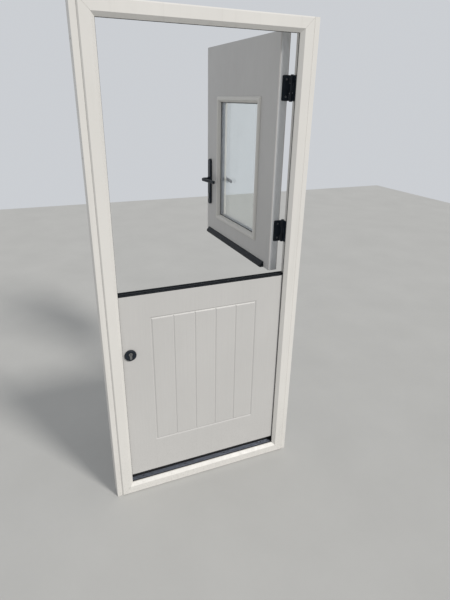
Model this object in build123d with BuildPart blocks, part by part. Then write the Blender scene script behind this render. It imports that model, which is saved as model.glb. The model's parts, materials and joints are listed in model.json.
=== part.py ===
import os
from build123d import *

os.makedirs("parts", exist_ok=True)

# A stable door in its frame, upper leaf standing open. Millimetres, +Z up.
# +X is to the right seen from outside, +Y goes into the house.
# The origin is under the middle of the sill, half way through the frame's depth.

# Frame section, measured inwards from the frame's outer edge
frame_w = 890.0
frame_h = 2100.0
frame_d = 70.0
edge_bevel = 5.0
face_flat = 42.0
lip_bevel = 14.0
lip_thick = 5.0
rebate_in = 37.0
wall_t = 3.0
web_y = 18.0
weld_groove = 1.0

# Gasket ring on the back of the frame's lip
slot_in = 49.0
slot_w = 3.0
slot_d = 4.0
gasket_w = 9.5
gasket_stem_play = 0.1
bulb_overhang = 1.0
bulb_skirt = 1.5
bulb_taper = 2.0
seal_play = 0.4

# Leaves
leaf_gap = 5.0
leaf_t = 44.0
seal_gap = 4.0
skin_t = 4.5
skin_edge_r = 1.2
rail_w = 40.0
threshold_play = 0.8
lower_bottom = 95.0
lower_top = 1044.0
cap_t = 3.0
cap_lip = 1.5
cap_edge = 3.0
cap_fin = 4.4
cap_fins_in = (10.0, 32.0)
fin_w = 2.0
seal_base_h = 7.0
seal_front = 19.5
seal_back = 2.0
seal_fin_w = 2.5
seal_end_gap = 1.0
meet_gap = 8.0
open_angle = 90.0
cut_past = 1.0

# Pressed plank pattern of the lower leaf
panel_half = 252.0
panel_foot = 183.0
panel_head = 115.0
plank_count = 5
ring_groove_w = 11.0
ring_groove_d = 3.0
plank_groove_w = 9.0
plank_groove_d = 2.5
edge_groove_count = 5
edge_groove_w = 2.0
edge_groove_d = 1.0

# Glazing of the upper leaf
sight_half = 224.0
sight_foot = 136.0
sight_head = 268.0
bead_w = 28.0
bead_proud = 9.0
bead_leg_in = 10.5
bead_leg_t = 3.5
bead_leg_gap = 4.0
# (out from the sight line, up from the glass), then (in from the outer edge, down from the top)
bead_steps = ((0.0, 4.0), (3.0, 7.0), (5.0, 12.0), (7.0, 12.0))
bead_top_in = 11.0
bead_nose = ((7.0, 0.0), (4.0, 2.0), (3.0, 5.0), (0.0, 6.0))
glass_in = 8.0
pane_t = 4.0
unit_t = 28.0
spacer_w = 12.0
cap_screw_r = 5.0
cap_screw_t = 1.2
cap_rows = 4

# Threshold
threshold_h = 22.0
tread_h = 1.2
tread_w = 1.8
tread_pitch = 4.6
tread_count = 9
tread_relief = 0.5
alu_wall = 2.0
threshold_screw_x = (110.0, 330.0)
threshold_screw_valley = 2.5
threshold_screw_len = 36.0

# Side trims
trim_w = 24.0
trim_back = 5.0
trim_wall = 2.0
trim_round = 2.0

# Hinges
hinge_h = 98.0
plate_t = 2.2
plate_w = 28.0
plate_round = 6.0
knuckle_r = 8.0
pin_r = 4.0
pin_play = 0.05
pin_stand_off = 16.0
pin_head_r = 6.5
pin_head_h = 3.0
end_knuckle = 30.0
knuckle_gap = 0.5
plate_gap = 1.0
upper_hinge_foot = 193.0
upper_hinge_head = 208.0
lower_hinge_foot = 196.0
lower_hinge_head = 207.0
hinge_screw_dz = 33.0

# Screws
screw_r = 2.0
screw_head_r = 4.2
screw_head_h = 2.0
screw_len = 20.0
screw_play = 0.02

# Locks
backset = 50.0
face_w = 20.0
face_t = 2.5
face_round = 4.0
face_inset = 12.0
face_foot = 38.0
face_mid_screws = (60.0, 298.0)
case_t = 14.0
case_deep = 72.0
case_wall = 1.5
pocket_play = 0.3
bolt_t = 10.0
slide_play = 0.4
mouth_play = 1.0
bolt_edge = 1.0
latch_h = 20.0
latch_len = 36.0
latch_out = 11.0
latch_bevel = 8.0
deadbolt_h = 24.0
deadbolt_len = 42.0
deadbolt_rise = 32.0
throw_r = 6.0
throw_len = 28.0
throw_room = 2.0
bolt_set_in = 0.2
lever_up = 320.0
lock_centres = 92.0
lower_cylinder_down = 269.0
throw_in = 103.0
upper_case_up = 43.0
upper_case_down = 122.0
lower_case_up = 53.0
lower_case_down = 27.0
lower_face_up = 89.0
lower_face_down = 63.0

# Cylinder with a thumb-turn inside
cyl_r = 8.5
cyl_slab_w = 10.0
cyl_h = 33.0
cyl_proud = 3.0
plug_r = 6.5
plug_play = 0.08
plug_collar = 1.5
plug_set_in = 0.5
cam_len = 14.0
cam_w = 7.0
cam_t = 9.0
cam_room_r = 15.5
cam_gap = 10.0
cut_play = 0.2
key_w = 2.0
key_h = 8.0
key_deep = 12.0
turn_h = 30.0
turn_w = 9.0
turn_out = 16.0
turn_neck = 4.0

# Handles
plate_long = 260.0
plate_wide = 35.0
plate_proud = 12.0
plate_down = 16.0
plate_edge = 2.5
hub_r = 12.0
hub_h = 6.0
lever_play = 0.4
lever_out = 28.0
lever_bend = 14.0
lever_turn = 100.0
lever_len = 136.0
lever_w = 12.0
lever_h = 18.0
lever_end = 2.5
spindle_w = 8.0
spindle_grip = 22.0
spindle_bore = 6.5
spindle_room = 8.0
follower_r = 11.0
rose_r = 26.0
rose_proud = 9.0
rose_edge = 2.5
rose_drop = 8.0
rose_bolt_x = 18.0
bolt_bite = 6.0
bolt_clear = 2.0

# Slide bolt that joins the two leaves
joiner_in = 73.0
joiner_w = 36.0
joiner_base_t = 3.0
joiner_down = 119.0
joiner_bar = 12.0
joiner_len = 108.0
joiner_set_in = 2.0
joiner_tip = 1.5
joiner_loop = 5.0
joiner_loop_top = 3.0
joiner_loop_h = 12.0
joiner_loops_at = (37.0, 103.0)
joiner_knob_at = 59.0
joiner_knob_r = 6.0
joiner_knob_out = 16.0
joiner_knob_edge = 1.5
joiner_round = 3.0
joiner_screws_at = (14.0, 89.0)
joiner_screw_edge = 0.6
joiner_screw_len = 14.0
keeper_lift = 5.0
keeper_h = 30.0
keeper_inset = 4.0

# Weather bar
bar_end_left = 28.0
bar_end_right = 53.0
bar_h = 27.0
bar_proud = 18.0
bar_top = 4.0
bar_nose_h = 12.0
bar_nose_r = 6.0
bar_end_r = 5.0
bar_lift = 1.0
drip_in = 5.0
drip_w = 6.0
drip_h = 4.0
drip_end = 10.0

# Keeps and fixing holes in the frame
keep_w = 26.0
keep_t = 1.5
fixing_r = 5.0
fixing_y = 1.0
fixing_foot = (170.0, 560.0)
fixing_head = (500.0, 120.0)

# Places worked out from the sizes above
half_w = frame_w / 2
y_out = -frame_d / 2
y_in = frame_d / 2
lip_in = face_flat + lip_bevel
lip_back = y_out + lip_bevel + lip_thick
rebate_x = half_w - rebate_in
leaf_half = rebate_x - leaf_gap
leaf_out = lip_back + seal_gap
leaf_in = leaf_out + leaf_t
leaf_mid = (leaf_out + leaf_in) / 2
core_out = leaf_out + skin_t
core_in = leaf_in - skin_t
upper_bottom = lower_top + meet_gap
upper_top = frame_h - rebate_in - leaf_gap
pin_x = rebate_x - leaf_gap / 2
pin_y = leaf_in + pin_stand_off
gasket_tip = leaf_out - seal_play
threshold_top = rebate_in + threshold_h
lock_x = backset - leaf_half
panel_low = lower_bottom + panel_foot
panel_high = lower_top - panel_head
sight_low = upper_bottom + sight_foot
sight_high = upper_top - sight_head
upper_hinges = (upper_bottom + upper_hinge_foot, upper_top - upper_hinge_head)
lower_hinges = (lower_bottom + lower_hinge_foot, lower_top - lower_hinge_head)
lever_z = upper_bottom + lever_up
upper_cylinder_z = lever_z - lock_centres
upper_deadbolt_z = upper_cylinder_z + deadbolt_rise
throw_z = (upper_bottom + throw_in, upper_top - throw_in)
upper_case = (lever_z - upper_case_down, lever_z + upper_case_up)
upper_face = (upper_bottom + face_foot, upper_top - face_foot)
lower_cylinder_z = lower_top - lower_cylinder_down
lower_deadbolt_z = lower_cylinder_z + deadbolt_rise
rose_z = lower_cylinder_z - rose_drop
lower_case = (lower_cylinder_z - lower_case_down, lower_cylinder_z + lower_case_up)
lower_face = (lower_cylinder_z - lower_face_down, lower_cylinder_z + lower_face_up)
plate_mid_z = lever_z - plate_down
joiner_x = joiner_in - leaf_half
joiner_low = lower_top - joiner_down
bar_left = bar_end_left - leaf_half
bar_right = leaf_half - bar_end_right
fixing_z = fixing_foot + tuple(frame_h - down for down in fixing_head)
glass_out = leaf_mid - unit_t / 2
glass_back = leaf_mid + unit_t / 2
hinge_line = Axis((pin_x, pin_y, 0), (0, 0, 1))
hang = (Align.CENTER, Align.CENTER, Align.MAX)
stand = (Align.CENTER, Align.CENTER, Align.MIN)


def save(builder, name, swung=False):
    """Write one piece; the upper leaf's pieces are swung open first."""
    part = builder.part
    if swung:
        part = part.rotate(hinge_line, -open_angle)
    part.label = name
    export_step(part, f"parts/{name}.step")


def outline(points, mode=Mode.ADD):
    """Flat face with straight edges."""
    with BuildLine() as border:
        Polyline(*points, close=True)
    make_face(border.edges(), mode=mode)


def block(x0, x1, y0, y1, z0, z1, mode=Mode.ADD):
    """Box between two corners."""
    with Locations(((x0 + x1) / 2, (y0 + y1) / 2, (z0 + z1) / 2)):
        Box(x1 - x0, y1 - y0, z1 - z0, mode=mode)


def rod(x, z, y0, y1, radius, mode=Mode.ADD):
    """Round rod or hole along Y."""
    with BuildSketch(Plane.XZ.offset(-y0)) as disc:
        with Locations((x, z)):
            Circle(radius)
    extrude(disc.sketch, amount=y1 - y0, dir=(0, 1, 0), mode=mode)


def bar_x(points, x0, x1, mode=Mode.ADD):
    """Bar along X from (y, z) points."""
    with BuildSketch(Plane.YZ.offset(x0)) as face:
        outline(points)
    extrude(face.sketch, amount=x1 - x0, dir=(1, 0, 0), mode=mode)


def ring(points, half, low, high, mode=Mode.ADD):
    """Frame with mitred corners; points are (outset, y) from the path."""
    with BuildLine(Plane.XZ) as path:
        Polyline((0, low), (half, low), (half, high), (-half, high), (-half, low), (0, low))
    with BuildSketch(Plane.YZ) as face:
        outline([(y, low - outset) for outset, y in points])
    sweep(sections=face.sketch, path=path.wires()[0], transition=Transition.RIGHT, mode=mode)


# Screws stand in planes whose normal points out of the head
def screws(places, length=screw_len):
    for place in places:
        with Locations(place):
            Cone(screw_r, screw_head_r, screw_head_h, align=hang)
        with Locations(place.offset(-screw_head_h)):
            Cylinder(screw_r, length - screw_head_h, align=hang)


def screw_holes(places, length=screw_len):
    top = screw_head_r + screw_play
    low = screw_r + screw_play
    for place in places:
        with Locations(place):
            Cone(low, top, screw_head_h, align=hang, mode=Mode.SUBTRACT)
            Cylinder(low, length + screw_play, align=hang, mode=Mode.SUBTRACT)


def facing(x, y, z, direction):
    return Plane(origin=(x, y, z), z_dir=direction)


frame_plate_x = rebate_x - plate_t
leaf_plate_x = leaf_half + plate_t
frame_plate_y = y_in - plate_w
leaf_plate_y = leaf_in - plate_w
leaf_screw_y = leaf_in - screw_head_r * 2
frame_screw_y = frame_plate_y + screw_head_r * 2
keep_x = keep_t - rebate_x


def pair_of_screws(levels, x, y, direction):
    offsets = (-hinge_screw_dz, hinge_screw_dz)
    return [facing(x, y, z + dz, direction) for z in levels for dz in offsets]


frame_hinge_places = pair_of_screws(upper_hinges + lower_hinges, frame_plate_x, frame_screw_y, (-1, 0, 0))
upper_hinge_places = pair_of_screws(upper_hinges, leaf_plate_x, leaf_screw_y, (1, 0, 0))
lower_hinge_places = pair_of_screws(lower_hinges, leaf_plate_x, leaf_screw_y, (1, 0, 0))

upper_mid_levels = tuple(lever_z + up for up in face_mid_screws)
upper_levels = (upper_face[0] + face_inset, *upper_mid_levels, upper_face[1] - face_inset)
lower_levels = (lower_face[0] + face_inset, lower_face[1] - face_inset)
keep_places = [facing(keep_x, leaf_mid, z, (1, 0, 0)) for z in upper_levels + lower_levels]
upper_face_places = [facing(-leaf_half, leaf_mid, z, (-1, 0, 0)) for z in upper_levels]
lower_face_places = [facing(-leaf_half, leaf_mid, z, (-1, 0, 0)) for z in lower_levels]

tread_low = gasket_tip + alu_wall
threshold_screw_y = tread_low + tread_w / 2 + tread_pitch * threshold_screw_valley
threshold_places = [
    facing(side * x, threshold_screw_y, threshold_top, (0, 0, 1))
    for side in (-1, 1)
    for x in threshold_screw_x
]


# Frame: four mitred bars of one hollow section
def frame_outline():
    return [
        (edge_bevel, y_out),
        (face_flat, y_out),
        (lip_in, y_out + lip_bevel),
        (lip_in, lip_back),
        (slot_in + slot_w, lip_back),
        (slot_in + slot_w, lip_back - slot_d),
        (slot_in, lip_back - slot_d),
        (slot_in, lip_back),
        (rebate_in, lip_back),
        (rebate_in, y_in),
        (0, y_in),
        (0, y_out + edge_bevel),
    ]


def frame_chambers():
    front = y_out + wall_t
    slope = wall_t * 2**0.5
    nose = slot_in - slot_d
    inner = rebate_in - wall_t
    cheek = edge_bevel + wall_t * (2**0.5 - 1)
    lip_chamber = [
        (cheek, front),
        (face_flat + wall_t - slope, front),
        (nose, y_out + slope + nose - face_flat),
        (nose, lip_back - wall_t),
        (wall_t, lip_back - wall_t),
        (wall_t, y_out + cheek),
    ]
    main_chamber = [(wall_t, lip_back), (inner, lip_back), (inner, web_y), (wall_t, web_y)]
    rear = y_in - wall_t
    rear_chamber = [(wall_t, web_y + wall_t), (inner, web_y + wall_t), (inner, rear), (wall_t, rear)]
    return lip_chamber, main_chamber, rear_chamber


def frame_section(place):
    outline([place(u, y) for u, y in frame_outline()])
    for chamber in frame_chambers():
        outline([place(u, y) for u, y in chamber], Mode.SUBTRACT)


def weld_line(x_side, z_corner, z_side):
    """Shallow groove that the weld leaves across a corner's face."""
    line = Plane(origin=(x_side * half_w, y_out, z_corner), x_dir=(-x_side, 0, -z_side), z_dir=(0, -1, 0))
    with Locations(line):
        Box(face_flat * 2 * 2**0.5, weld_groove, weld_groove, rotation=(45, 0, 0), mode=Mode.SUBTRACT)


def jamb(side):
    with BuildSketch(Plane.XY) as face:
        frame_section(lambda u, y: (side * (half_w - u), y))
    extrude(face.sketch, amount=frame_h, dir=(0, 0, 1))
    split(bisect_by=Plane(origin=(side * half_w, 0, frame_h), z_dir=(side, 0, -1)), keep=Keep.TOP)
    split(bisect_by=Plane(origin=(side * half_w, 0, 0), z_dir=(side, 0, 1)), keep=Keep.TOP)
    weld_line(side, frame_h, 1)
    weld_line(side, 0, -1)
    for z in fixing_z:
        with Locations(Plane(origin=(side * half_w, fixing_y, z), z_dir=(side, 0, 0))):
            Cylinder(fixing_r, rebate_in * 3, mode=Mode.SUBTRACT)


def cross_bar(place, corner_z, up):
    with BuildSketch(Plane.YZ.offset(-half_w)) as face:
        frame_section(place)
    extrude(face.sketch, amount=frame_w, dir=(1, 0, 0))
    for side in (-1, 1):
        split(bisect_by=Plane(origin=(side * half_w, 0, corner_z), z_dir=(-side, 0, up)), keep=Keep.TOP)
        weld_line(side, corner_z, up)


with BuildPart() as hinge_jamb:
    jamb(1)
    screw_holes(frame_hinge_places)
save(hinge_jamb, "hinge_jamb")


def bolt_cut(z, height, mode=Mode.SUBTRACT):
    """Mouth in the keep and the jamb wall for one bolt."""
    block(
        -rebate_x - wall_t * 1.5,
        -rebate_x + keep_t * 2,
        leaf_mid - bolt_t / 2 - mouth_play,
        leaf_mid + bolt_t / 2 + mouth_play,
        z - height / 2 - mouth_play,
        z + height / 2 + mouth_play,
        mode,
    )


def keep_cuts():
    bolt_cut(lever_z, latch_h)
    bolt_cut(upper_deadbolt_z, deadbolt_h)
    bolt_cut(lower_deadbolt_z, deadbolt_h)
    for z in throw_z:
        with Locations(Plane(origin=(-rebate_x, leaf_mid, z), z_dir=(1, 0, 0))):
            Cylinder(throw_r + mouth_play, wall_t * 3, mode=Mode.SUBTRACT)


with BuildPart() as lock_jamb:
    jamb(-1)
    keep_cuts()
    screw_holes(keep_places)
save(lock_jamb, "lock_jamb")

with BuildPart() as frame_head:
    cross_bar(lambda u, y: (y, frame_h - u), frame_h, 1)
save(frame_head, "frame_head")

with BuildPart() as frame_sill:
    cross_bar(lambda u, y: (y, u), 0, -1)
    screw_holes(threshold_places, threshold_screw_len)
save(frame_sill, "frame_sill")


def keep(z0, z1):
    with BuildSketch(Plane.YZ.offset(-rebate_x)) as face:
        with Locations((leaf_mid, (z0 + z1) / 2)):
            RectangleRounded(keep_w, z1 - z0, face_round)
    extrude(face.sketch, amount=keep_t, dir=(1, 0, 0))
    keep_cuts()
    screw_holes(keep_places)


with BuildPart() as upper_keep:
    keep(*upper_face)
save(upper_keep, "upper_keep")

with BuildPart() as lower_keep:
    keep(*lower_face)
save(lower_keep, "lower_keep")

# Gasket ring, pushed into the slot behind the frame's lip
with BuildPart() as frame_gasket:
    stem_a = slot_in + gasket_stem_play
    stem_b = slot_in + slot_w - gasket_stem_play
    bulb_a = slot_in - bulb_overhang
    bulb_b = bulb_a + gasket_w
    gasket_points = [
        (stem_a, lip_back - slot_d + gasket_stem_play),
        (stem_b, lip_back - slot_d + gasket_stem_play),
        (stem_b, lip_back),
        (bulb_b, lip_back),
        (bulb_b, lip_back + bulb_skirt),
        (bulb_b - bulb_taper, gasket_tip),
        (bulb_a + bulb_taper, gasket_tip),
        (bulb_a, lip_back + bulb_skirt),
        (bulb_a, lip_back),
        (stem_a, lip_back),
    ]
    sight = half_w - bulb_b
    ring([(bulb_b - u, y) for u, y in gasket_points], sight, bulb_b, frame_h - bulb_b)
save(frame_gasket, "frame_gasket")

# Ribbed threshold between the jambs
with BuildPart() as threshold:
    tread = []
    for n in range(tread_count):
        y = tread_low + n * tread_pitch
        tread += [(y, threshold_top), (y, threshold_top + tread_h)]
        tread += [(y + tread_w, threshold_top + tread_h), (y + tread_w, threshold_top)]
    shape = [(y_in, rebate_in), (gasket_tip, rebate_in), (gasket_tip, threshold_top)] + tread
    bar_x(shape + [(y_in, threshold_top)], -rebate_x, rebate_x)
    middle = (gasket_tip + y_in) / 2
    z0 = rebate_in + alu_wall
    z1 = threshold_top - alu_wall
    for a, b in ((gasket_tip + alu_wall, middle - alu_wall / 2), (middle + alu_wall / 2, y_in - alu_wall)):
        bar_x([(a, z0), (b, z0), (b, z1), (a, z1)], -rebate_x, rebate_x, Mode.SUBTRACT)
    for place in threshold_places:
        with Locations(place):
            Cylinder(screw_head_r + tread_relief, tread_h * 2, align=stand, mode=Mode.SUBTRACT)
    screw_holes(threshold_places, threshold_screw_len)
save(threshold, "threshold")


# Hollow trims that widen the frame at each side
def side_trim(side):
    with BuildSketch(Plane.XY) as face:
        with Locations((side * (half_w + trim_w / 2), 0)):
            Rectangle(trim_w, frame_d - trim_back * 2)
        fillet(vertices().group_by(Axis.Y)[0], radius=trim_round)
        with Locations((side * (half_w + trim_w / 2), 0)):
            Rectangle(trim_w - trim_wall * 2, frame_d - trim_back * 2 - trim_wall * 2, mode=Mode.SUBTRACT)
    extrude(face.sketch, amount=frame_h, dir=(0, 0, 1))
    for z in fixing_z:
        with Locations(Plane(origin=(side * half_w, fixing_y, z), z_dir=(side, 0, 0))):
            Cylinder(fixing_r, trim_w * 3, mode=Mode.SUBTRACT)


with BuildPart() as hinge_side_trim:
    side_trim(1)
save(hinge_side_trim, "hinge_side_trim")

with BuildPart() as lock_side_trim:
    side_trim(-1)
save(lock_side_trim, "lock_side_trim")

with BuildPart() as frame_screws:
    screws(frame_hinge_places + keep_places)
    screws(threshold_places, threshold_screw_len)
save(frame_screws, "frame_screws")


# Butt hinges: the frame plate has the end knuckles, the leaf plate the middle one
def knuckle(z0, z1, bore):
    with Locations((pin_x, pin_y, z0)):
        Cylinder(knuckle_r, z1 - z0, align=stand)
        Cylinder(bore, z1 - z0, align=stand, mode=Mode.SUBTRACT)


def round_front_corners():
    fillet(edges().filter_by(Axis.X).group_by(Axis.Y)[0], radius=plate_round)


def frame_hinge(z):
    bottom = z - hinge_h / 2
    top = z + hinge_h / 2
    block(frame_plate_x, rebate_x, frame_plate_y, y_in, bottom, top)
    round_front_corners()
    for a, b in ((bottom, bottom + end_knuckle), (top - end_knuckle, top)):
        block(frame_plate_x, rebate_x, y_in, pin_y, a, b)
        knuckle(a, b, pin_r)
    screw_holes(frame_hinge_places)


def leaf_hinge(z, places):
    bottom = z - hinge_h / 2
    top = z + hinge_h / 2
    a = bottom + end_knuckle + knuckle_gap
    b = top - end_knuckle - knuckle_gap
    block(leaf_half, leaf_plate_x, leaf_plate_y, pin_y - knuckle_r - plate_gap, bottom, top)
    round_front_corners()
    block(leaf_half, leaf_plate_x, leaf_in, pin_y, a, b)
    knuckle(a, b, pin_r + pin_play)
    screw_holes(places)


for word, level in zip(("low", "high"), upper_hinges):
    with BuildPart() as upper_frame_hinge:
        frame_hinge(level)
    save(upper_frame_hinge, f"upper_{word}_frame_hinge")
    with BuildPart() as upper_leaf_hinge:
        leaf_hinge(level, upper_hinge_places)
    save(upper_leaf_hinge, f"upper_{word}_leaf_hinge", swung=True)

for word, level in zip(("low", "high"), lower_hinges):
    with BuildPart() as lower_frame_hinge:
        frame_hinge(level)
    save(lower_frame_hinge, f"lower_{word}_frame_hinge")
    with BuildPart() as lower_leaf_hinge:
        leaf_hinge(level, lower_hinge_places)
    save(lower_leaf_hinge, f"lower_{word}_leaf_hinge")

with BuildPart() as hinge_pins:
    for level in upper_hinges + lower_hinges:
        with Locations((pin_x, pin_y, level)):
            Cylinder(pin_r, hinge_h)
        for end in (-1, 1):
            with Locations((pin_x, pin_y, level + end * (hinge_h + pin_head_h) / 2)):
                Cylinder(pin_head_r, pin_head_h)
save(hinge_pins, "hinge_pins")


# Leaf skins, with the plank pattern pressed into the lower leaf's two skins
def v_points(face_y, inward, width, deep):
    """V groove that starts a little outside the face."""
    half = width / 2
    start = face_y - inward * cut_past
    return [(-half, start), (half, start), (half, face_y), (0, face_y + inward * deep), (-half, face_y)]


def plank_pattern(face_y, inward):
    border = v_points(face_y, inward, ring_groove_w, ring_groove_d)
    ring(border, panel_half, panel_low, panel_high, Mode.SUBTRACT)
    pitch = panel_half * 2 / plank_count
    for n in range(1, plank_count):
        x = n * pitch - panel_half
        with BuildSketch(Plane.XY.offset(panel_low)) as face:
            outline([(x + dx, y) for dx, y in v_points(face_y, inward, plank_groove_w, plank_groove_d)])
        extrude(face.sketch, amount=panel_high - panel_low, dir=(0, 0, 1), mode=Mode.SUBTRACT)


aperture = sight_half + bead_leg_in + bead_leg_t
aperture_low = sight_low - bead_leg_in - bead_leg_t
aperture_high = sight_high + bead_leg_in + bead_leg_t


def aperture_cut():
    through = (leaf_out - cut_past, leaf_in + cut_past)
    block(-aperture, aperture, *through, aperture_low, aperture_high, Mode.SUBTRACT)


def cylinder_shape(z, play, mode=Mode.ADD):
    slab = cyl_h - cyl_r
    with Locations((lock_x, z)):
        Circle(cyl_r + play, mode=mode)
    with Locations((lock_x, z - slab / 2)):
        Rectangle(cyl_slab_w + play * 2, slab + play * 2, mode=mode)


def cylinder_cut(z, play):
    with BuildSketch(Plane.XZ.offset(leaf_t - leaf_out)) as face:
        cylinder_shape(z, play)
    extrude(face.sketch, amount=leaf_t * 3, dir=(0, 1, 0), mode=Mode.SUBTRACT)


def spindle_hole(radius):
    rod(lock_x, lever_z, leaf_out - leaf_t, leaf_in + leaf_t, radius, Mode.SUBTRACT)


handle_bolt_low = upper_case[0] - screw_head_r - bolt_clear
handle_bolt_high = plate_mid_z + plate_long / 2 - plate_wide / 2 - screw_head_r
handle_places = [
    facing(lock_x, leaf_in + plate_proud, z, (0, 1, 0)) for z in (handle_bolt_low, handle_bolt_high)
]
handle_bolt_len = leaf_t + plate_proud + bolt_bite
rose_places = [
    facing(lock_x + dx, leaf_in + rose_proud, rose_z, (0, 1, 0))
    for dx in (-rose_bolt_x, rose_bolt_x)
]
rose_bolt_len = leaf_t + rose_proud + bolt_bite
joiner_face = leaf_in + joiner_base_t
joiner_screw_x = joiner_w / 2 - screw_head_r - joiner_screw_edge
keeper_low = upper_bottom + keeper_lift
keeper_high = keeper_low + keeper_h
joiner_places = [
    facing(joiner_x + dx, joiner_face, joiner_low + at, (0, 1, 0))
    for dx in (-joiner_screw_x, joiner_screw_x)
    for at in joiner_screws_at
]
keeper_places = [
    facing(joiner_x + dx, joiner_face, (keeper_low + keeper_high) / 2, (0, 1, 0))
    for dx in (-joiner_screw_x, joiner_screw_x)
]


def upper_holes():
    """Bores for the handle, cylinder and lock of the upper leaf."""
    spindle_hole(spindle_room)
    cylinder_cut(upper_cylinder_z, cut_play * 3)
    screw_holes(handle_places, handle_bolt_len)
    screw_holes(keeper_places, joiner_screw_len)


def lower_holes():
    cylinder_cut(lower_cylinder_z, cut_play * 3)
    screw_holes(rose_places, rose_bolt_len)
    screw_holes(joiner_places, joiner_screw_len)


def skin(face_y, back_y, z0, z1):
    """Sheet whose outer face has softened edges."""
    block(-leaf_half, leaf_half, *sorted((face_y, back_y)), z0, z1)
    fillet(faces().sort_by(Axis.Y)[-1 if face_y > back_y else 0].edges(), radius=skin_edge_r)


with BuildPart() as upper_outer_skin:
    skin(leaf_out, core_out, upper_bottom, upper_top)
    aperture_cut()
    upper_holes()
save(upper_outer_skin, "upper_outer_skin", swung=True)

with BuildPart() as upper_inner_skin:
    skin(leaf_in, core_in, upper_bottom, upper_top)
    aperture_cut()
    upper_holes()
save(upper_inner_skin, "upper_inner_skin", swung=True)

with BuildPart() as lower_outer_skin:
    skin(leaf_out, core_out, lower_bottom, lower_top)
    plank_pattern(leaf_out, 1)
    lower_holes()
save(lower_outer_skin, "lower_outer_skin")

with BuildPart() as lower_inner_skin:
    skin(leaf_in, core_in, lower_bottom, lower_top)
    plank_pattern(leaf_in, -1)
    lower_holes()
save(lower_inner_skin, "lower_inner_skin")


# White grooved edge frame of each leaf, and the foam core inside it
def edge_points():
    pitch = (core_in - core_out) / (edge_groove_count + 1)
    points = [(-rail_w, core_out), (0, core_out)]
    for n in range(1, edge_groove_count + 1):
        y = core_out + n * pitch
        points += [(0, y - edge_groove_w / 2), (-edge_groove_d, y - edge_groove_w / 2)]
        points += [(-edge_groove_d, y + edge_groove_w / 2), (0, y + edge_groove_w / 2)]
    return points + [(0, core_in), (-rail_w, core_in)]


def lock_pocket(case, face):
    """Room for the lock case and its faceplate."""
    play = pocket_play
    for (z0, z1), thick, deep in ((case, case_t, case_deep + play), (face, face_w, face_t)):
        half = thick / 2 + play
        span = (leaf_mid - half, leaf_mid + half, z0 - play, z1 + play)
        block(-leaf_half - cut_past, deep - leaf_half, *span, Mode.SUBTRACT)


def throw_pockets():
    for z in throw_z:
        with Locations(Plane(origin=(-leaf_half, leaf_mid, z), z_dir=(-1, 0, 0))):
            Cylinder(throw_r + slide_play, (throw_len + throw_room) * 2, mode=Mode.SUBTRACT)


with BuildPart() as upper_edge_frame:
    ring(edge_points(), leaf_half, upper_bottom, upper_top)
    lock_pocket(upper_case, upper_face)
    throw_pockets()
    upper_holes()
    screw_holes(upper_hinge_places + upper_face_places)
save(upper_edge_frame, "upper_edge_frame", swung=True)

with BuildPart() as lower_edge_frame:
    ring(edge_points(), leaf_half, lower_bottom, lower_top)
    lock_pocket(lower_case, lower_face)
    lower_holes()
    screw_holes(lower_hinge_places + lower_face_places)
save(lower_edge_frame, "lower_edge_frame")

inside = leaf_half - rail_w

with BuildPart() as upper_core:
    block(-inside, inside, core_out, core_in, upper_bottom + rail_w, upper_top - rail_w)
    aperture_cut()
    lock_pocket(upper_case, upper_face)
    upper_holes()
save(upper_core, "upper_core", swung=True)

with BuildPart() as lower_core:
    block(-inside, inside, core_out, core_in, lower_bottom + rail_w, lower_top - rail_w)
    lock_pocket(lower_case, lower_face)
    lower_holes()
save(lower_core, "lower_core")


# Glazing: two beads clamp the sealed unit from both sides
def bead(face_y, glass_y, outward, leg_y):
    """Stepped bead; outward is the Y direction away from the leaf."""
    top = face_y + outward * bead_proud
    leg = bead_leg_in + bead_leg_t
    points = [(0, glass_y)]
    points += [(out, glass_y + outward * rise) for out, rise in bead_steps]
    points += [(bead_top_in, top)]
    points += [(bead_w - back, top - outward * drop) for back, drop in bead_nose]
    points += [(bead_w, face_y), (leg, face_y), (leg, leg_y)]
    return points + [(bead_leg_in, leg_y), (bead_leg_in, glass_y)]


with BuildPart() as outer_bead:
    ring(bead(leaf_out, glass_out, -1, leaf_mid - bead_leg_gap / 2), sight_half, sight_low, sight_high)
save(outer_bead, "outer_bead", swung=True)

with BuildPart() as inner_bead:
    ring(bead(leaf_in, glass_back, 1, leaf_mid + bead_leg_gap / 2), sight_half, sight_low, sight_high)
save(inner_bead, "inner_bead", swung=True)

with BuildPart() as bead_caps:
    mid = bead_w / 2
    step = (sight_high - sight_low) / (cap_rows - 1)
    spots = [(s * (sight_half + mid), sight_low + n * step) for s in (-1, 1) for n in range(cap_rows)]
    spots += [(x, z) for x in (-sight_half / 2, sight_half / 2) for z in (sight_low - mid, sight_high + mid)]
    for x, z in spots:
        rod(x, z, leaf_in + bead_proud, leaf_in + bead_proud + cap_screw_t, cap_screw_r)
save(bead_caps, "bead_caps", swung=True)


def pane(y0):
    half = sight_half + glass_in
    block(-half, half, y0, y0 + pane_t, sight_low - glass_in, sight_high + glass_in)


with BuildPart() as outer_pane:
    pane(glass_out)
save(outer_pane, "outer_pane", swung=True)

with BuildPart() as inner_pane:
    pane(glass_back - pane_t)
save(inner_pane, "inner_pane", swung=True)

with BuildPart() as pane_spacer:
    a = glass_out + pane_t
    b = glass_back - pane_t
    inner = glass_in - spacer_w
    ring([(inner, a), (glass_in, a), (glass_in, b), (inner, b)], sight_half, sight_low, sight_high)
save(pane_spacer, "pane_spacer", swung=True)

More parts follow.
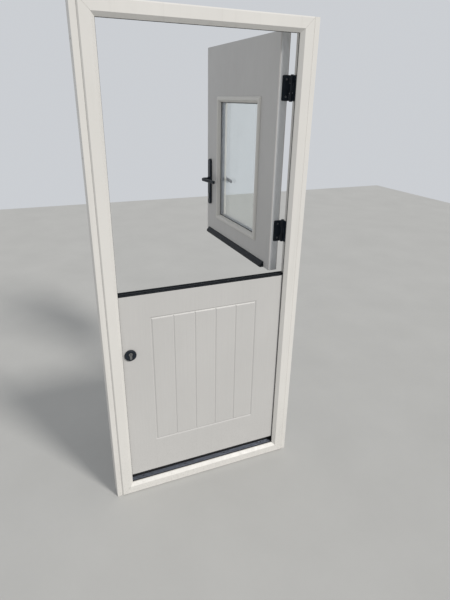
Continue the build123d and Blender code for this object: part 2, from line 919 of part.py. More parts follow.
# Weather bar along the foot of the upper leaf
with BuildPart() as weather_bar:
    z0 = upper_bottom + bar_lift
    z1 = z0 + bar_h
    front = leaf_out - bar_proud
    shape = [(leaf_out, z0), (leaf_out, z1), (leaf_out - bar_top, z1)]
    bar_x(shape + [(front, z0 + bar_nose_h), (front, z0)], bar_left, bar_right)
    fillet(edges().filter_by(Axis.X).group_by(Axis.Y)[0].sort_by(Axis.Z)[-1:], radius=bar_nose_r)
    fillet(edges().filter_by(Axis.Z).group_by(Axis.Y)[0], radius=bar_end_r)
    groove = front + drip_in
    drip = (groove, groove + drip_w, z0 - cut_past, z0 + drip_h)
    block(bar_left + drip_end, bar_right - drip_end, *drip, Mode.SUBTRACT)
save(weather_bar, "weather_bar", swung=True)

# Black cap with two sealing fins along the top of the lower leaf
with BuildPart() as lower_top_cap:
    z0 = lower_top
    z1 = z0 + cap_t
    rim = z1 + cap_lip
    shape = [(leaf_out, z0), (leaf_out, rim), (leaf_out + cap_edge, rim), (leaf_out + cap_edge, z1)]
    for y in [leaf_out + inset for inset in cap_fins_in]:
        shape += [(y, z1), (y, z1 + cap_fin), (y + fin_w, z1 + cap_fin), (y + fin_w, z1)]
    shape += [(leaf_in - cap_edge, z1), (leaf_in - cap_edge, rim), (leaf_in, rim), (leaf_in, z0)]
    bar_x(shape, -leaf_half, leaf_half)
save(lower_top_cap, "lower_top_cap")

# Black seal under the lower leaf, sweeping over the threshold
with BuildPart() as lower_bottom_seal:
    z0 = threshold_top + tread_h + threshold_play
    base = lower_bottom - seal_base_h
    a = leaf_out + seal_front
    b = core_in - seal_back
    front_fin = [(a, lower_bottom), (a, z0), (a + seal_fin_w, z0), (a + seal_fin_w, base)]
    back_fin = [(b - seal_fin_w, base), (b - seal_fin_w, z0), (b, z0), (b, lower_bottom)]
    bar_x(front_fin + back_fin, seal_end_gap - leaf_half, leaf_half - seal_end_gap)
save(lower_bottom_seal, "lower_bottom_seal")


# Lock cases with their faceplates
def lock_case(case, face, bolts, places, cylinder_z):
    x0 = face_t - leaf_half
    x1 = case_deep - leaf_half
    block(x0, x1, leaf_mid - case_t / 2, leaf_mid + case_t / 2, *case)
    inner = case_t / 2 - case_wall
    room = (leaf_mid - inner, leaf_mid + inner, case[0] + case_wall, case[1] - case_wall)
    block(x0, x1 - case_wall, *room, Mode.SUBTRACT)
    with BuildSketch(Plane.YZ.offset(-leaf_half)) as strip:
        with Locations((leaf_mid, (face[0] + face[1]) / 2)):
            RectangleRounded(face_w, face[1] - face[0], face_round)
    extrude(strip.sketch, amount=face_t, dir=(1, 0, 0))
    for z, height in bolts:
        half = height / 2 + slide_play
        side = bolt_t / 2 + slide_play
        slot = (leaf_mid - side, leaf_mid + side, z - half, z + half)
        block(-leaf_half - cut_past, x0 + cut_past, *slot, Mode.SUBTRACT)
    cylinder_cut(cylinder_z, cut_play)
    screw_holes(places)


with BuildPart() as upper_lock_case:
    upper_bolts = ((lever_z, latch_h), (upper_deadbolt_z, deadbolt_h))
    lock_case(upper_case, upper_face, upper_bolts, upper_face_places, upper_cylinder_z)
    spindle_hole(spindle_bore)
    for z in throw_z:
        with Locations(Plane(origin=(-leaf_half, leaf_mid, z), z_dir=(-1, 0, 0))):
            Cylinder(throw_r + slide_play, face_t * 3, mode=Mode.SUBTRACT)
save(upper_lock_case, "upper_lock_case", swung=True)

with BuildPart() as lower_lock_case:
    lower_bolts = ((lower_deadbolt_z, deadbolt_h),)
    lock_case(lower_case, lower_face, lower_bolts, lower_face_places, lower_cylinder_z)
    screw_holes(rose_places, rose_bolt_len)
save(lower_lock_case, "lower_lock_case")

# Latch, sprung out, and the bolts, drawn back flush with the faceplate
bolt_tip = bolt_set_in - leaf_half


def flat_bolt(tip, z, height, length):
    span = (leaf_mid - bolt_t / 2, leaf_mid + bolt_t / 2, z - height / 2, z + height / 2)
    block(tip, tip + length, *span)


with BuildPart() as latch:
    flat_bolt(-leaf_half - latch_out, lever_z, latch_h, latch_len)
    chamfer(edges().filter_by(Axis.Z).group_by(Axis.X)[0].sort_by(Axis.Y)[:1], length=latch_bevel)
save(latch, "latch", swung=True)

with BuildPart() as upper_deadbolt:
    flat_bolt(bolt_tip, upper_deadbolt_z, deadbolt_h, deadbolt_len)
    chamfer(faces().sort_by(Axis.X)[0].edges(), length=bolt_edge)
save(upper_deadbolt, "upper_deadbolt", swung=True)

with BuildPart() as lower_deadbolt:
    flat_bolt(bolt_tip, lower_deadbolt_z, deadbolt_h, deadbolt_len)
    chamfer(faces().sort_by(Axis.X)[0].edges(), length=bolt_edge)
save(lower_deadbolt, "lower_deadbolt")

with BuildPart() as throw_bolts:
    for z in throw_z:
        with Locations(Plane(origin=(bolt_tip, leaf_mid, z), z_dir=(1, 0, 0))):
            Cylinder(throw_r, throw_len, align=stand)
    chamfer(faces().filter_by(Axis.X).group_by(Axis.X)[0].edges(), length=bolt_edge)
save(throw_bolts, "throw_bolts", swung=True)


# Cylinder body, and the plug that carries the keyway, cam and thumb-turn
def cylinder_body(z, y0, y1):
    with BuildSketch(Plane.XZ.offset(-y0)) as face:
        cylinder_shape(z, 0)
    extrude(face.sketch, amount=y1 - y0, dir=(0, 1, 0))
    rod(lock_x, z, y0, y1, plug_r + plug_play, Mode.SUBTRACT)
    rod(lock_x, z, leaf_mid - cam_gap / 2, leaf_mid + cam_gap / 2, cam_room_r, Mode.SUBTRACT)


def turning_plug(z, y0, y1):
    rod(lock_x, z, y0, y1 + turn_neck, plug_r)
    cam = leaf_mid - cam_t / 2
    rod(lock_x, z, cam, cam + cam_t, plug_r + plug_collar)
    block(lock_x - cam_w / 2, lock_x + cam_w / 2, cam, cam + cam_t, z, z + cam_len)
    keyway = (y0 - cut_past, y0 + key_deep, z - key_h / 2, z + key_h / 2)
    block(lock_x - key_w / 2, lock_x + key_w / 2, *keyway, Mode.SUBTRACT)
    with BuildSketch(Plane.XZ.offset(-y1 - turn_neck)) as face:
        with Locations((lock_x, z)):
            SlotOverall(turn_h, turn_w, rotation=90)
    extrude(face.sketch, amount=turn_out, dir=(0, 1, 0))


upper_cyl_y = (leaf_out - plate_proud - cyl_proud, leaf_in + plate_proud + cyl_proud)
lower_cyl_y = (leaf_out - rose_proud - cyl_proud, leaf_in + rose_proud + cyl_proud)

with BuildPart() as upper_cylinder:
    cylinder_body(upper_cylinder_z, *upper_cyl_y)
save(upper_cylinder, "upper_cylinder", swung=True)

with BuildPart() as lower_cylinder:
    cylinder_body(lower_cylinder_z, *lower_cyl_y)
save(lower_cylinder, "lower_cylinder")

with BuildPart() as upper_thumb_turn:
    turning_plug(upper_cylinder_z, upper_cyl_y[0] + plug_set_in, upper_cyl_y[1])
save(upper_thumb_turn, "upper_thumb_turn", swung=True)

with BuildPart() as lower_thumb_turn:
    turning_plug(lower_cylinder_z, lower_cyl_y[0] + plug_set_in, lower_cyl_y[1])
save(lower_thumb_turn, "lower_thumb_turn")


# Handle backplates and levers
def backplate(face_y, outward):
    base = Plane(origin=(lock_x, face_y, plate_mid_z), x_dir=(0, 0, 1), z_dir=(0, outward, 0))
    with BuildSketch(base) as face:
        SlotOverall(plate_long, plate_wide)
    extrude(face.sketch, amount=plate_proud, dir=(0, outward, 0))
    chamfer(faces().sort_by(Axis.Y)[-1 if outward > 0 else 0].edges(), length=plate_edge)
    spindle_hole(spindle_bore)
    cylinder_cut(upper_cylinder_z, cut_play)
    screw_holes(handle_places, handle_bolt_len)


with BuildPart() as outer_backplate:
    backplate(leaf_out, -1)
save(outer_backplate, "outer_backplate", swung=True)

with BuildPart() as inner_backplate:
    backplate(leaf_in, 1)
save(inner_backplate, "inner_backplate", swung=True)


def lever(start_y, outward):
    end_y = start_y + outward * lever_out
    with BuildLine(Plane.XY.offset(lever_z)) as path:
        neck = Line((lock_x, start_y), (lock_x, end_y))
        bend = JernArc(neck @ 1, neck % 1, lever_bend, -lever_turn * outward)
        grip = (lock_x + lever_len - (bend @ 1).X) / (bend % 1).X
        Line(bend @ 1, bend @ 1 + (bend % 1) * grip)
    foot = Plane(origin=(lock_x, start_y, lever_z), x_dir=(1, 0, 0), z_dir=(0, outward, 0))
    with BuildSketch(foot) as shape:
        SlotOverall(lever_h, lever_w, rotation=90)
    sweep(sections=shape.sketch, path=path.wires()[0])
    chamfer(faces().sort_by(Axis.X)[-1].edges(), length=lever_end)
    with Locations(foot):
        Cylinder(hub_r, hub_h, align=stand)
    y0, y1 = sorted((start_y, start_y + outward * spindle_grip))
    half = spindle_w / 2
    block(lock_x - half, lock_x + half, y0, y1, lever_z - half, lever_z + half, Mode.SUBTRACT)


outer_lever_y = leaf_out - plate_proud - lever_play
inner_lever_y = leaf_in + plate_proud + lever_play

with BuildPart() as outer_lever:
    lever(outer_lever_y, -1)
save(outer_lever, "outer_lever", swung=True)

with BuildPart() as inner_lever:
    lever(inner_lever_y, 1)
save(inner_lever, "inner_lever", swung=True)

with BuildPart() as spindle:
    half = spindle_w / 2
    y0 = outer_lever_y - spindle_grip
    y1 = inner_lever_y + spindle_grip
    block(lock_x - half, lock_x + half, y0, y1, lever_z - half, lever_z + half)
    rod(lock_x, lever_z, leaf_mid - cam_t / 2, leaf_mid + cam_t / 2, follower_r)
save(spindle, "spindle", swung=True)


# Round escutcheons of the lower lock
def rose(face_y, outward):
    with BuildSketch(Plane(origin=(lock_x, face_y, rose_z), z_dir=(0, outward, 0))) as face:
        Circle(rose_r)
    extrude(face.sketch, amount=rose_proud, dir=(0, outward, 0))
    chamfer(faces().sort_by(Axis.Y)[-1 if outward > 0 else 0].edges(), length=rose_edge)
    cylinder_cut(lower_cylinder_z, cut_play)
    screw_holes(rose_places, rose_bolt_len)


with BuildPart() as outer_rose:
    rose(leaf_out, -1)
save(outer_rose, "outer_rose")

with BuildPart() as inner_rose:
    rose(leaf_in, 1)
save(inner_rose, "inner_rose")


# Slide bolt joining the leaves: base and loops, bar with knob, keeper above
def loop(z0, z1):
    """Bridge over the sliding bar."""
    half = joiner_bar / 2 + joiner_loop
    top = joiner_face + joiner_bar + slide_play * 2 + joiner_loop_top
    block(joiner_x - half, joiner_x + half, joiner_face, top, z0, z1)


def bar_room(z0, z1):
    half = joiner_bar / 2 + slide_play
    top = joiner_face + joiner_bar + slide_play * 2
    block(joiner_x - half, joiner_x + half, joiner_face, top, z0, z1, Mode.SUBTRACT)


def joiner_plate(z0, z1):
    block(joiner_x - joiner_w / 2, joiner_x + joiner_w / 2, leaf_in, joiner_face, z0, z1)
    fillet(edges().filter_by(Axis.Y), radius=joiner_round)


with BuildPart() as joiner_base:
    joiner_plate(joiner_low, lower_top)
    for at in joiner_loops_at:
        loop(joiner_low + at, joiner_low + at + joiner_loop_h)
    bar_room(joiner_low, lower_top)
    screw_holes(joiner_places, joiner_screw_len)
save(joiner_base, "joiner_base")

with BuildPart() as joiner_bolt:
    half = joiner_bar / 2
    y0 = joiner_face + slide_play
    z1 = lower_top - joiner_set_in
    block(joiner_x - half, joiner_x + half, y0, y0 + joiner_bar, z1 - joiner_len, z1)
    chamfer(faces().sort_by(Axis.Z)[-1].edges(), length=joiner_tip)
    knob_y = y0 + joiner_bar
    rod(joiner_x, joiner_low + joiner_knob_at, knob_y, knob_y + joiner_knob_out, joiner_knob_r)
    chamfer(faces().sort_by(Axis.Y)[-1].edges(), length=joiner_knob_edge)
save(joiner_bolt, "joiner_bolt")

with BuildPart() as joiner_keeper:
    joiner_plate(keeper_low, keeper_high)
    loop(keeper_low + keeper_inset, keeper_high - keeper_inset)
    bar_room(keeper_low, keeper_high)
    screw_holes(keeper_places, joiner_screw_len)
save(joiner_keeper, "joiner_keeper", swung=True)

with BuildPart() as upper_screws:
    screws(upper_hinge_places + upper_face_places)
    screws(handle_places, handle_bolt_len)
    screws(keeper_places, joiner_screw_len)
save(upper_screws, "upper_screws", swung=True)

with BuildPart() as lower_screws:
    screws(lower_hinge_places + lower_face_places)
    screws(rose_places, rose_bolt_len)
    screws(joiner_places, joiner_screw_len)
save(lower_screws, "lower_screws")
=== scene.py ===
import json
import math

import bpy
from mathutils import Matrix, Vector


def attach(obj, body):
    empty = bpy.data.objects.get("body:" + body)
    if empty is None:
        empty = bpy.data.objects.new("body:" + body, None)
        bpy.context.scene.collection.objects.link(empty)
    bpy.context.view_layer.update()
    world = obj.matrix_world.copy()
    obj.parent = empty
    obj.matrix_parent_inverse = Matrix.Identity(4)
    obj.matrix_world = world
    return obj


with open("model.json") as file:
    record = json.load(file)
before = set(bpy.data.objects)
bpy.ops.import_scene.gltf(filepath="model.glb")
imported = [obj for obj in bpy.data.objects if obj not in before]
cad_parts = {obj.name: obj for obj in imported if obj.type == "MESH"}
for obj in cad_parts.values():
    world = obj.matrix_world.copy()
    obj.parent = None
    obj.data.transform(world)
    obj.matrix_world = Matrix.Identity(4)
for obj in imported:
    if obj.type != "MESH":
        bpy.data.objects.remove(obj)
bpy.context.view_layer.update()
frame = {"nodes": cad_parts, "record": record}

# Camera, solved from the photograph, in metres and degrees
CAMERA_PLACE = (-0.6776, -1.7902, 1.8032)
CAMERA_TURN = (66.527, -0.928, -23.081)
LENS_MM = 27.72
SENSOR_MM = 36.0

# Light and surroundings, with turns and softness in degrees and the floor in metres
AMBIENT = 0.48
AMBIENT_COLOUR = (0.96, 0.98, 1.0, 1.0)
SHOWN_BACKGROUND = (0.60, 0.62, 0.65, 1.0)
KEY_TURN = (52.0, 0.0, 28.0)
KEY_STRENGTH = 1.95
KEY_SOFTNESS = 12.0
KEY_COLOUR = (1.0, 0.97, 0.92)
FLOOR_SIZE = 14.0
FLOOR_COLOUR = (0.56, 0.56, 0.55, 1.0)

# Base colours, linear
# The frame's white is lighter than the leaf skin's, though the two are about one white: painted sunlight
# on the frame and painted shade on the skin
SUNLIT_FRAME_WHITE = (0.80, 0.782, 0.752, 1.0)
SHADED_SKIN = (0.608, 0.600, 0.590, 1.0)
EDGE_WHITE = (0.76, 0.775, 0.79, 1.0)
BEAD = (0.74, 0.725, 0.69, 1.0)
# The next colour is that of rain streaks and splashes, and of the painted shade in corners
GRIME_AND_SHADE = (0.25, 0.24, 0.22, 1.0)
DUST = (0.20, 0.195, 0.185, 1.0)
BLACK_RUBBER = (0.012, 0.012, 0.013, 1.0)
BLACK_PLASTIC = (0.008, 0.010, 0.013, 1.0)
BLACK_METAL = (0.009, 0.013, 0.019, 1.0)
ALUMINIUM = (0.34, 0.365, 0.42, 1.0)
SCREW = (0.30, 0.30, 0.31, 1.0)
STEEL = (0.56, 0.56, 0.55, 1.0)
NICKEL = (0.31, 0.315, 0.315, 1.0)
FOAM = (0.80, 0.72, 0.48, 1.0)
GLASS = (0.93, 0.95, 0.945, 1.0)

# Patterns: a noise's scale along the axes, in blobs a metre, and the values between which it fades in
PLASTIC_MOTTLE = ((3, 3, 2), 0.35, 0.70)
PLASTIC_STREAKS = ((45, 45, 1.6), 0.56, 0.80)
PLASTIC_SPLASHES = ((150, 150, 110), 0.50, 0.75)
# The next pattern varies the painted shade in the corners of plastics
PLASTIC_SHADE_PATCHES = ((25, 25, 25), 0.25, 0.75)
PLASTIC_SHEEN = ((35, 35, 12), 0.30, 0.75)
PAINT_TONE = ((60, 60, 60), 0.30, 0.75)
PAINT_DUST = ((140, 140, 140), 0.30, 0.70)
PAINT_SPECKS = ((700, 700, 700), 0.66, 0.75)
PAINT_SHEEN = ((90, 90, 90), 0.30, 0.75)
# The next pattern varies the painted shade in the corners of metals
METAL_SHADE_PATCHES = ((90, 90, 90), 0.20, 0.70)
METAL_SHEEN = ((50, 50, 50), 0.25, 0.75)
GLASS_SMEARS = ((9, 9, 6), 0.45, 0.75)
GLASS_HAZE = ((22, 22, 16), 0.50, 0.80)
FLOOR_TONE = ((2, 2, 2), 0.30, 0.70)
FLOOR_SHEEN = ((30, 30, 30), 0.30, 0.70)

# Bumps from coarse to fine, each a noise's scale along the axes, its detail, and a height in metres
GRAINED_BUMPS = (((70, 70, 3), 4.0, 0.0005), ((420, 420, 14), 5.0, 0.00012))
MOULDED_BUMPS = (((14, 14, 9), 4.0, 0.0006), ((900, 900, 900), 4.0, 0.00004))
PAINT_BUMPS = (((1400, 1400, 1400), 4.0, 0.00008),)
FLOOR_BUMPS = (((260, 260, 260), 4.0, 0.0003),)
METAL_BUMP_HEIGHT = 0.00006
FOAM_BUMP_HEIGHT = 0.0003

# What the base colour is multiplied by where a pattern shows
MOTTLE_TONE = 0.95
PAINT_WEAR_TONE = 1.9
METAL_GRAIN_TONE = 0.78
# The next tone darkens the painted shade in the corners of metals
METAL_SHADE_TONE = 0.5
SMEAR_TONE = 0.965
FOAM_CELL_TONE = 0.7
FLOOR_PATCH_TONE = 0.94

# Where splashes and painted shade lie: the height that splashes reach and the widths of corners that
# painted shade fills, in metres
SPLASH_TOP = 0.40
PLASTIC_CORNERS = 0.007
METAL_CORNERS = 0.004

# How strong splashes, specks and painted shade are, and the share of the greatest strength that patches
# keep where they are weakest
SPLASH_STRENGTH = 0.22
SPECK_STRENGTH = 0.22
# The next value is the least strength of the painted shade in the corners of metals
LEAST_CORNER_SHADE = 0.2
LEAST_SHARE = 1 / 3

# Other surface values, with the spans that ramps map, and roughness from least to greatest
NOISE_ROUGHNESS = 0.55
NOISE_DETAIL = 4.0
METAL_GRAIN_DETAIL = 3.0
METAL_GRAIN_SPAN = (0.30, 0.70)
CREVICE_SAMPLES = 6
CREVICE_SPAN = (0.35, 0.85)
UPWARD_SPAN = (0.55, 0.95)
PAINT_SPECULAR = 0.25
GLASS_IOR = 1.45
GLASS_ROUGH = (0.0, 0.05)
FOAM_CELLS = 600.0
FOAM_COLOUR_SPAN = (0.1, 0.7)
FOAM_ROUGH_SPAN = (0.0, 0.8)
FOAM_ROUGH = (0.80, 0.95)
FLOOR_ROUGH = (0.75, 0.90)

# Sockets of the mixing nodes that share a name with others, by number
COLOUR_A, COLOUR_B, COLOUR_OUT = 6, 7, 2
SHADER_A, SHADER_B = 1, 2

# Crosses of painted shade for the screws' cross recesses, in metres
DRIVE_LONG = 0.0046
DRIVE_WIDE = 0.0010
DRIVE_SHOWN = 0.00005
SCREW_BODIES = {"frame_screws": "frame", "upper_screws": "upper_leaf", "lower_screws": "lower_leaf"}

# Corners that agree to this many digits of a metre are one, and a screw's end is flat to FLAT metres
SAME_DIGITS = 5
FLAT = 0.0001


class Graph:
    """A tree of nodes, with short calls to add and join them."""

    def __init__(self, tree):
        self.tree = tree
        self.tree.nodes.clear()

    def fill(self, node, inputs):
        """Joins each input of a node to a socket, or sets it to a value."""
        for key, value in inputs.items():
            if isinstance(value, bpy.types.NodeSocket):
                self.tree.links.new(value, node.inputs[key])
            else:
                node.inputs[key].default_value = value

    def add(self, kind, inputs=None, **settings):
        node = self.tree.nodes.new(kind)
        for key, value in settings.items():
            setattr(node, key, value)
        self.fill(node, inputs or {})
        return node

    def maths(self, operation, a, b):
        return self.add("ShaderNodeMath", {0: a, 1: b}, operation=operation).outputs["Value"]


class Look(Graph):
    """A material, with the patterns that several surfaces share."""

    def __init__(self, name):
        self.name = name
        self.material = bpy.data.materials.new(name)
        self.material.use_nodes = True
        super().__init__(self.material.node_tree)
        self.shader = self.add("ShaderNodeBsdfPrincipled")
        self.add("ShaderNodeOutputMaterial", {"Surface": self.shader.outputs["BSDF"]})
        self.place = self.add("ShaderNodeTexCoord").outputs["Object"]

    def noise(self, scale, detail=NOISE_DETAIL):
        """Noise whose scale is the number of blobs a metre along each axis."""
        stretched = self.add("ShaderNodeMapping", {"Vector": self.place, "Scale": scale}).outputs["Vector"]
        inputs = {"Vector": stretched, "Scale": 1.0, "Detail": detail, "Roughness": NOISE_ROUGHNESS}
        return self.add("ShaderNodeTexNoise", inputs).outputs["Fac"]

    def ramp(self, value, low, high, out_low=0.0, out_high=1.0):
        """Value between low and high, mapped to between two outputs and clamped."""
        inputs = {"Value": value, "From Min": low, "From Max": high, "To Min": out_low, "To Max": out_high}
        return self.add("ShaderNodeMapRange", inputs).outputs["Result"]

    def patches(self, pattern, out_low=0.0, out_high=1.0):
        """A pattern of scale, low and high, mapped to between two outputs."""
        scale, low, high = pattern
        return self.ramp(self.noise(scale), low, high, out_low, out_high)

    def upright(self, vector):
        """The upward part of a vector."""
        return self.add("ShaderNodeSeparateXYZ", {"Vector": vector}).outputs["Z"]

    def facing_up(self):
        """1 on surfaces that face up, 0 on the others."""
        normal = self.add("ShaderNodeNewGeometry").outputs["Normal"]
        return self.ramp(self.upright(normal), *UPWARD_SPAN)

    def crevice(self, distance):
        """1 in corners and grooves of that size, where shade falls, 0 on open faces: the mask of painted
        shade.
        """
        openness = self.add("ShaderNodeAmbientOcclusion", {"Distance": distance}, samples=CREVICE_SAMPLES)
        return self.ramp(openness.outputs["AO"], *CREVICE_SPAN, 1.0, 0.0)

    def blend(self, factor, a, b):
        """Colour a where the factor is 0 and b where it is 1."""
        inputs = {"Factor": factor, COLOUR_A: a, COLOUR_B: b}
        return self.add("ShaderNodeMix", inputs, data_type="RGBA").outputs[COLOUR_OUT]

    def bumps(self, layers):
        """Noise bumps from layers of scale, detail and height in metres."""
        return [(self.noise(scale, detail), height) for scale, detail, height in layers]

    def coat(self, colour, roughness, bumps=()):
        """Feeds the shader. Bumps are pairs of a noise and its height in metres, from coarse to fine."""
        normal = {}
        for noise, height in bumps:
            bump = self.add("ShaderNodeBump", {"Height": noise, "Distance": height, **normal})
            normal = {"Normal": bump.outputs["Normal"]}
        self.fill(self.shader, {"Base Color": colour, "Roughness": roughness, **normal})


def shade(colour, factor):
    return (*[channel * factor for channel in colour[:3]], 1.0)


def white_plastic(name, base, rough, streaks, corners, bumps=MOULDED_BUMPS):
    """White plastic: faint mottling, rain streaks and splashes low down, with painted shade in the
    corners.
    rough is the least and the greatest roughness. streaks is how strong the streaks are; corners, the
    painted shade in corners."""
    look = Look(name)
    shown = look.blend(look.patches(PLASTIC_MOTTLE), base, shade(base, MOTTLE_TONE))
    shown = look.blend(look.patches(PLASTIC_STREAKS, 0.0, streaks), shown, GRIME_AND_SHADE)
    low = look.ramp(look.upright(look.place), 0.0, SPLASH_TOP, SPLASH_STRENGTH, 0.0)
    splash = look.maths("MULTIPLY", low, look.patches(PLASTIC_SPLASHES))
    shown = look.blend(splash, shown, GRIME_AND_SHADE)
    # Painted shade: darker in corners and grooves, where shade falls
    settled_dust_and_shade = look.patches(PLASTIC_SHADE_PATCHES, corners * LEAST_SHARE, corners)
    corner_shade = look.maths("MULTIPLY", look.crevice(PLASTIC_CORNERS), settled_dust_and_shade)
    shown = look.blend(corner_shade, shown, GRIME_AND_SHADE)
    look.coat(shown, look.patches(PLASTIC_SHEEN, *rough), look.bumps(bumps))
    return look


def black_paint(name, base, rough, dust):
    """Black coating: fine texture, with a little dust on what faces up.
    rough is the least and the greatest roughness. dust is how strong the dust is."""
    look = Look(name)
    look.fill(look.shader, {"Specular IOR Level": PAINT_SPECULAR})
    shown = look.blend(look.patches(PAINT_TONE), base, shade(base, PAINT_WEAR_TONE))
    dusty = look.patches(PAINT_DUST, dust * LEAST_SHARE, dust)
    settled_dust_and_shade = look.maths("MULTIPLY", look.facing_up(), dusty)
    shown = look.blend(settled_dust_and_shade, shown, DUST)
    shown = look.blend(look.patches(PAINT_SPECKS, 0.0, SPECK_STRENGTH), shown, DUST)
    look.coat(shown, look.patches(PAINT_SHEEN, *rough), look.bumps(PAINT_BUMPS))
    return look


def metal(name, base, rough, grain, corner_shade_strength):
    """Bare metal with a grain, and painted shade in the corners. rough is the least and the greatest
    roughness.
    grain is its noise's scale along each axis, and the last argument is how strong the painted shade is."""
    look = Look(name)
    look.fill(look.shader, {"Metallic": 1.0})
    lines = look.noise(grain, METAL_GRAIN_DETAIL)
    shown = look.blend(look.ramp(lines, *METAL_GRAIN_SPAN), base, shade(base, METAL_GRAIN_TONE))
    # Painted shade: darker in corners and grooves, where shade falls
    settled_dust_and_shade = look.patches(METAL_SHADE_PATCHES, LEAST_CORNER_SHADE, corner_shade_strength)
    corner_shade = look.maths("MULTIPLY", look.crevice(METAL_CORNERS), settled_dust_and_shade)
    shown = look.blend(corner_shade, shown, shade(GRIME_AND_SHADE, METAL_SHADE_TONE))
    look.coat(shown, look.patches(METAL_SHEEN, *rough), [(lines, METAL_BUMP_HEIGHT)])
    return look


def clear_glass():
    """Clear glass with faint smears."""
    look = Look("clear_glass")
    look.fill(look.shader, {"Transmission Weight": 1.0, "IOR": GLASS_IOR})
    shown = look.blend(look.patches(GLASS_SMEARS), GLASS, shade(GLASS, SMEAR_TONE))
    look.coat(shown, look.patches(GLASS_HAZE, *GLASS_ROUGH))
    return look


def foam():
    """Yellowish rigid foam with small cells."""
    look = Look("foam_core")
    cells = look.add("ShaderNodeTexVoronoi", {"Vector": look.place, "Scale": FOAM_CELLS})
    near = cells.outputs["Distance"]
    shown = look.blend(look.ramp(near, *FOAM_COLOUR_SPAN), FOAM, shade(FOAM, FOAM_CELL_TONE))
    look.coat(shown, look.ramp(near, *FOAM_ROUGH_SPAN, *FOAM_ROUGH), [(near, FOAM_BUMP_HEIGHT)])
    return look


looks = [
    white_plastic("frame_white", SUNLIT_FRAME_WHITE, rough=(0.36, 0.52), streaks=0.10, corners=0.75),
    white_plastic("leaf_skin", SHADED_SKIN, rough=(0.34, 0.50), streaks=0.05, corners=0.25, bumps=GRAINED_BUMPS),
    white_plastic("edge_white", EDGE_WHITE, rough=(0.30, 0.46), streaks=0.05, corners=0.30),
    white_plastic("bead_cream", BEAD, rough=(0.28, 0.44), streaks=0.04, corners=0.30),
    black_paint("black_rubber", BLACK_RUBBER, rough=(0.62, 0.82), dust=0.30),
    black_paint("black_plastic", BLACK_PLASTIC, rough=(0.42, 0.62), dust=0.05),
    black_paint("black_metal", BLACK_METAL, rough=(0.30, 0.50), dust=0.08),
    metal("aluminium", ALUMINIUM, rough=(0.34, 0.54), grain=(3, 500, 500), corner_shade_strength=0.6),
    metal("screw_black", SCREW, rough=(0.34, 0.54), grain=(800, 800, 800), corner_shade_strength=0.6),
    metal("lock_steel", STEEL, rough=(0.24, 0.44), grain=(500, 500, 6), corner_shade_strength=0.5),
    metal("cylinder_nickel", NICKEL, rough=(0.16, 0.36), grain=(300, 300, 300), corner_shade_strength=0.55),
    clear_glass(),
    foam(),
]
materials = {look.name: look.material for look in looks}

for part in frame["record"]["subparts"]:
    for place in frame["nodes"][part["node"]].material_slots:
        place.material = materials[part["material_slot"]]


def placed(name, data):
    """A new object in the scene, made of a mesh, lamp or camera."""
    thing = bpy.data.objects.new(name, data)
    bpy.context.collection.objects.link(thing)
    return thing


def solids_of(mesh):
    """Corner points of each separate solid in a mesh."""
    joined = {}

    def root(key):
        while joined.setdefault(key, key) != key:
            key = joined[key]
        return key

    points = [tuple(round(value, SAME_DIGITS) for value in corner.co) for corner in mesh.vertices]
    for face in mesh.polygons:
        first = root(points[face.vertices[0]])
        for other in face.vertices[1:]:
            joined[root(points[other])] = first
    solids = {}
    for point in points:
        solids.setdefault(root(point), []).append(Vector(point))
    return list(solids.values())


def screw_head(points):
    """Middle of a screw's head, the number of the axis it lies along, and which way it faces."""
    low = Vector(map(min, *points))
    high = Vector(map(max, *points))
    span = high - low
    axis = max(range(3), key=lambda n: span[n])
    ends = []
    for facing, level in ((-1, low[axis]), (1, high[axis])):
        middle = (low + high) / 2
        middle[axis] = level
        reach = max((point - middle).length for point in points if abs(point[axis] - level) < FLAT)
        ends.append((reach, middle, facing))
    _, middle, facing = max(ends, key=lambda end: end[0])
    return middle, axis, facing


def cross_outline():
    """Corner points of a cross, anticlockwise, as pairs across and along it."""
    long = DRIVE_LONG / 2
    wide = DRIVE_WIDE / 2
    quarter = [(wide, wide), (wide, long), (-wide, long)]
    cross = []
    for turn in range(4):
        cross += quarter
        quarter = [(-v, u) for u, v in quarter]
    return cross


def paint_recess_shades(node, body, look):
    """A dark cross of painted shade on the head of every screw of a node, for the shade in its cross
    recess.
    """
    cross = cross_outline()
    corners = []
    faces = []
    for points in solids_of(frame["nodes"][node].data):
        middle, axis, facing = screw_head(points)
        faces.append(range(len(corners), len(corners) + len(cross)))
        for u, v in cross[::facing]:
            corner = middle.copy()
            corner[axis] += facing * DRIVE_SHOWN
            corner[(axis + 1) % 3] += u
            corner[(axis + 2) % 3] += v
            corners.append(corner)
    mesh = bpy.data.meshes.new(f"{node}_drives")
    mesh.from_pydata(corners, [], faces)
    mesh.materials.append(look.material)
    recess_shades = placed(f"{node}_drives", mesh)
    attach(recess_shades, body)


# Painted shade: the screws' cross recesses are drawn as dark crosses
recess_shade_look = black_paint("painted_recess_shade", BLACK_METAL, rough=(0.60, 0.80), dust=0.2)
for node, body in SCREW_BODIES.items():
    paint_recess_shades(node, body, recess_shade_look)


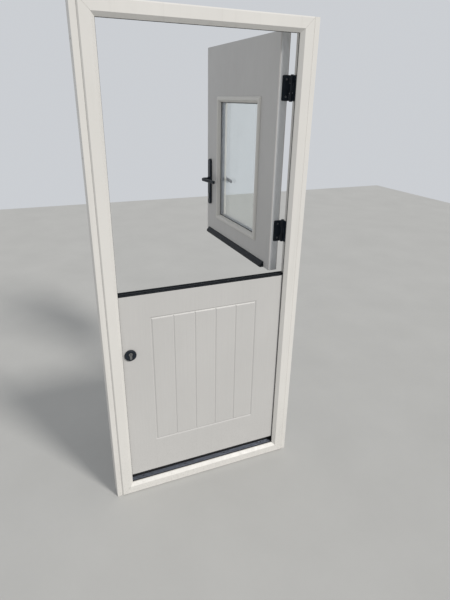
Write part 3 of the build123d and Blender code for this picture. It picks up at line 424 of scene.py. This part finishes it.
def floor():
    """Plain pale floor."""
    look = Look("floor")
    shown = look.blend(look.patches(FLOOR_TONE), FLOOR_COLOUR, shade(FLOOR_COLOUR, FLOOR_PATCH_TONE))
    look.coat(shown, look.patches(FLOOR_SHEEN, *FLOOR_ROUGH), look.bumps(FLOOR_BUMPS))
    half = FLOOR_SIZE / 2
    mesh = bpy.data.meshes.new("floor")
    corners = [(-half, -half, 0), (half, -half, 0), (half, half, 0), (-half, half, 0)]
    mesh.from_pydata(corners, [], [(0, 1, 2, 3)])
    mesh.materials.append(look.material)
    ground = placed("floor", mesh)


def surroundings():
    """Even light from all round; the camera, gloss and glass see a pale backdrop."""
    world = bpy.data.worlds.new("surroundings")
    bpy.context.scene.world = world
    world.use_nodes = True
    graph = Graph(world.node_tree)
    light = graph.add("ShaderNodeBackground", {"Color": AMBIENT_COLOUR, "Strength": AMBIENT})
    shown = graph.add("ShaderNodeBackground", {"Color": SHOWN_BACKGROUND})
    rays = graph.add("ShaderNodeLightPath").outputs
    seen = rays["Is Camera Ray"]
    for ray in ("Is Glossy Ray", "Is Transmission Ray"):
        seen = graph.maths("MAXIMUM", seen, rays[ray])
    backgrounds = {SHADER_A: light.outputs["Background"], SHADER_B: shown.outputs["Background"]}
    mix = graph.add("ShaderNodeMixShader", {"Fac": seen, **backgrounds})
    graph.add("ShaderNodeOutputWorld", {"Surface": mix.outputs["Shader"]})


def key_light():
    lamp = bpy.data.lights.new("key_light", "SUN")
    lamp.energy = KEY_STRENGTH
    lamp.angle = math.radians(KEY_SOFTNESS)
    lamp.color = KEY_COLOUR
    key = placed("key_light", lamp)
    key.rotation_euler = [math.radians(turn) for turn in KEY_TURN]


def photo_camera():
    lens = bpy.data.cameras.new("photo_camera")
    lens.lens = LENS_MM
    lens.sensor_width = SENSOR_MM
    eye = placed("photo_camera", lens)
    eye.location = CAMERA_PLACE
    eye.rotation_euler = [math.radians(turn) for turn in CAMERA_TURN]
    bpy.context.scene.camera = eye


floor()
surroundings()
key_light()
photo_camera()
bpy.context.scene.view_settings.view_transform = "Standard"
